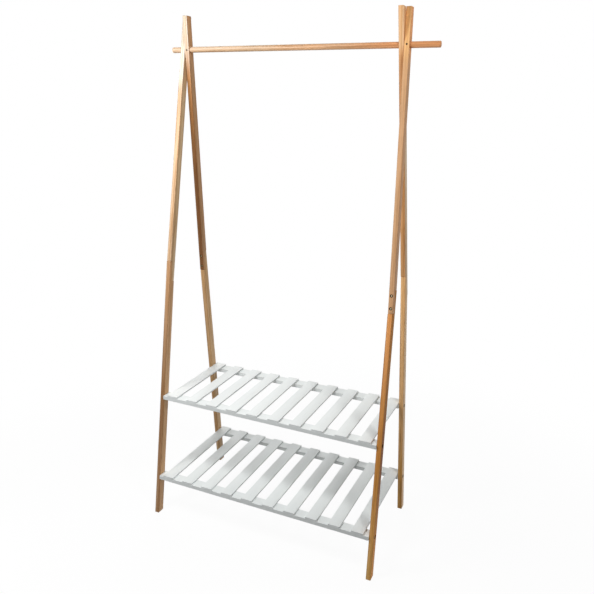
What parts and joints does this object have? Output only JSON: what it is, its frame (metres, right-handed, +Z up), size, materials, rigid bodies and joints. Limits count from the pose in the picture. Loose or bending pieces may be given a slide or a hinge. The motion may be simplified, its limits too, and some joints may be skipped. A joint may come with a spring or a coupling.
{
  "type": "coat rack",
  "caption": "Free-standing A-frame coat rack: spliced wooden legs cross at a round hanging rail, with white slatted shelves bolted between the legs.",
  "frame": {"origin": "point on the floor under the middle of the hanging rail", "axes": "+Z up, X along the hanging rail, -Y to the front"},
  "size_m": [0.8672, 0.4192, 1.6502],
  "materials": {
    "leg_wood": "clear satin oil",
    "rail_wood": "clear satin oil",
    "shelf_paint": "white satin paint",
    "bright_steel": "zinc plated",
    "black_steel": "black oxide"
  },
  "bodies": {
    "root": {"left_front_upper_leg": "leg_wood", "left_front_lower_leg": "leg_wood", "left_rear_upper_leg": "leg_wood", "left_rear_lower_leg": "leg_wood", "right_front_upper_leg": "leg_wood", "right_front_lower_leg": "leg_wood", "right_rear_upper_leg": "leg_wood", "right_rear_lower_leg": "leg_wood", "hanging_rail": "rail_wood", "upper_shelf_front_rail": "shelf_paint", "upper_shelf_rear_rail": "shelf_paint", "lower_shelf_front_rail": "shelf_paint", "lower_shelf_rear_rail": "shelf_paint", "upper_shelf_slat_01": "shelf_paint", "upper_shelf_slat_02": "shelf_paint", "upper_shelf_slat_03": "shelf_paint", "upper_shelf_slat_04": "shelf_paint", "upper_shelf_slat_05": "shelf_paint", "upper_shelf_slat_06": "shelf_paint", "upper_shelf_slat_07": "shelf_paint", "upper_shelf_slat_08": "shelf_paint", "upper_shelf_slat_09": "shelf_paint", "upper_shelf_slat_10": "shelf_paint", "lower_shelf_slat_01": "shelf_paint", "lower_shelf_slat_02": "shelf_paint", "lower_shelf_slat_03": "shelf_paint", "lower_shelf_slat_04": "shelf_paint", "lower_shelf_slat_05": "shelf_paint", "lower_shelf_slat_06": "shelf_paint", "lower_shelf_slat_07": "shelf_paint", "lower_shelf_slat_08": "shelf_paint", "lower_shelf_slat_09": "shelf_paint", "lower_shelf_slat_10": "shelf_paint", "splice_bolts": "bright_steel", "splice_inserts": "bright_steel", "shelf_bolts": "black_steel", "shelf_barrel_nuts": "bright_steel", "rail_screws": "black_steel", "upper_slat_screws": "bright_steel", "lower_slat_screws": "bright_steel"}
  },
  "joints": []
}
